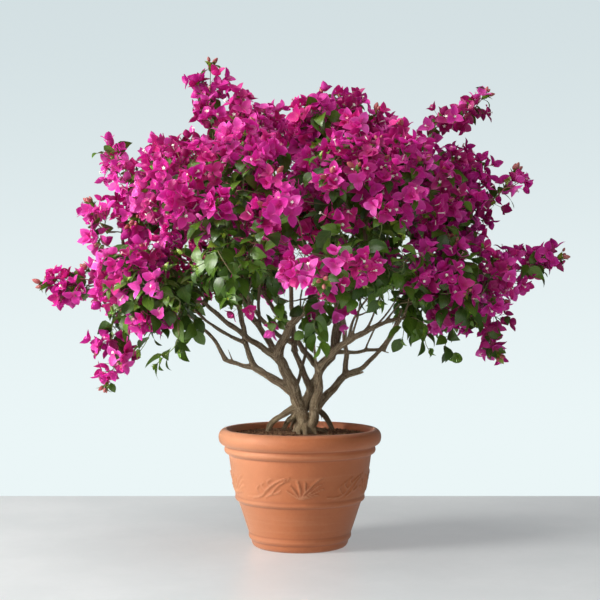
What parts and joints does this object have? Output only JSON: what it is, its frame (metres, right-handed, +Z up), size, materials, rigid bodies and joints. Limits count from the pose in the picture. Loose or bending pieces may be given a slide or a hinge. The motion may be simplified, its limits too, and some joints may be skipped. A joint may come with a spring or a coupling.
{
  "type": "bougainvillea bush",
  "caption": "Flowering bougainvillea bush with a wide domed crown over bare forking stems, planted in a round terracotta pot with a rolled rim.",
  "frame": {"origin": "centre of the pot's flat underside", "axes": "+Z up, +X to the bush's right seen from its front, +Y towards its back"},
  "size_m": [1.2931, 1.1417, 1.1826],
  "materials": {
    "terracotta": "matte",
    "potting_soil": "matte",
    "bark": "matte",
    "foliage": "satin"
  },
  "bodies": {
    "root": {"pot": "terracotta", "soil": "potting_soil", "trunk_left": "bark", "trunk_right": "bark", "trunk_back": "bark", "root_left_outer": "bark", "root_left_inner": "bark", "root_right": "bark", "bough_left_front": "bark", "bough_left_low": "bark", "bough_left_reach": "bark", "bough_left_tip": "bark", "bough_left_riser": "bark", "bough_left_side": "bark", "bough_left_mid": "bark", "bough_left_high": "bark", "bough_centre_low": "bark", "bough_centre": "bark", "bough_cross": "bark", "bough_inner": "bark", "bough_right": "bark", "bough_right_low": "bark", "bough_right_tip": "bark", "bough_right_riser": "bark", "bough_right_cross": "bark", "bough_right_rise": "bark", "bough_back_right": "bark", "bough_back_left": "bark", "bough_back_far": "bark", "leaves_skirt_1": "foliage", "leaves_skirt_2": "foliage", "leaves_skirt_3": "foliage", "leaves_skirt_4": "foliage", "leaves_skirt_5": "foliage", "leaves_skirt_6": "foliage", "leaves_skirt_7": "foliage", "leaves_skirt_8": "foliage", "leaves_shoulder_1": "foliage", "leaves_shoulder_2": "foliage", "leaves_shoulder_3": "foliage", "leaves_shoulder_4": "foliage", "leaves_shoulder_5": "foliage", "leaves_shoulder_6": "foliage", "leaves_top_1": "foliage", "leaves_top_2": "foliage", "leaves_top_3": "foliage", "leaves_top_4": "foliage", "leaves_core": "foliage", "leaves_spray_top_left": "foliage", "leaves_spray_top": "foliage", "leaves_spray_top_right": "foliage", "leaves_spray_right": "foliage", "leaves_spray_far_right": "foliage", "leaves_spray_low_right": "foliage", "leaves_spray_low_left": "foliage", "leaves_spray_far_left": "foliage", "leaves_spray_left": "foliage", "leaves_spray_upper_left": "foliage", "leaves_spray_front": "foliage", "leaves_spray_back": "foliage"}
  },
  "joints": []
}
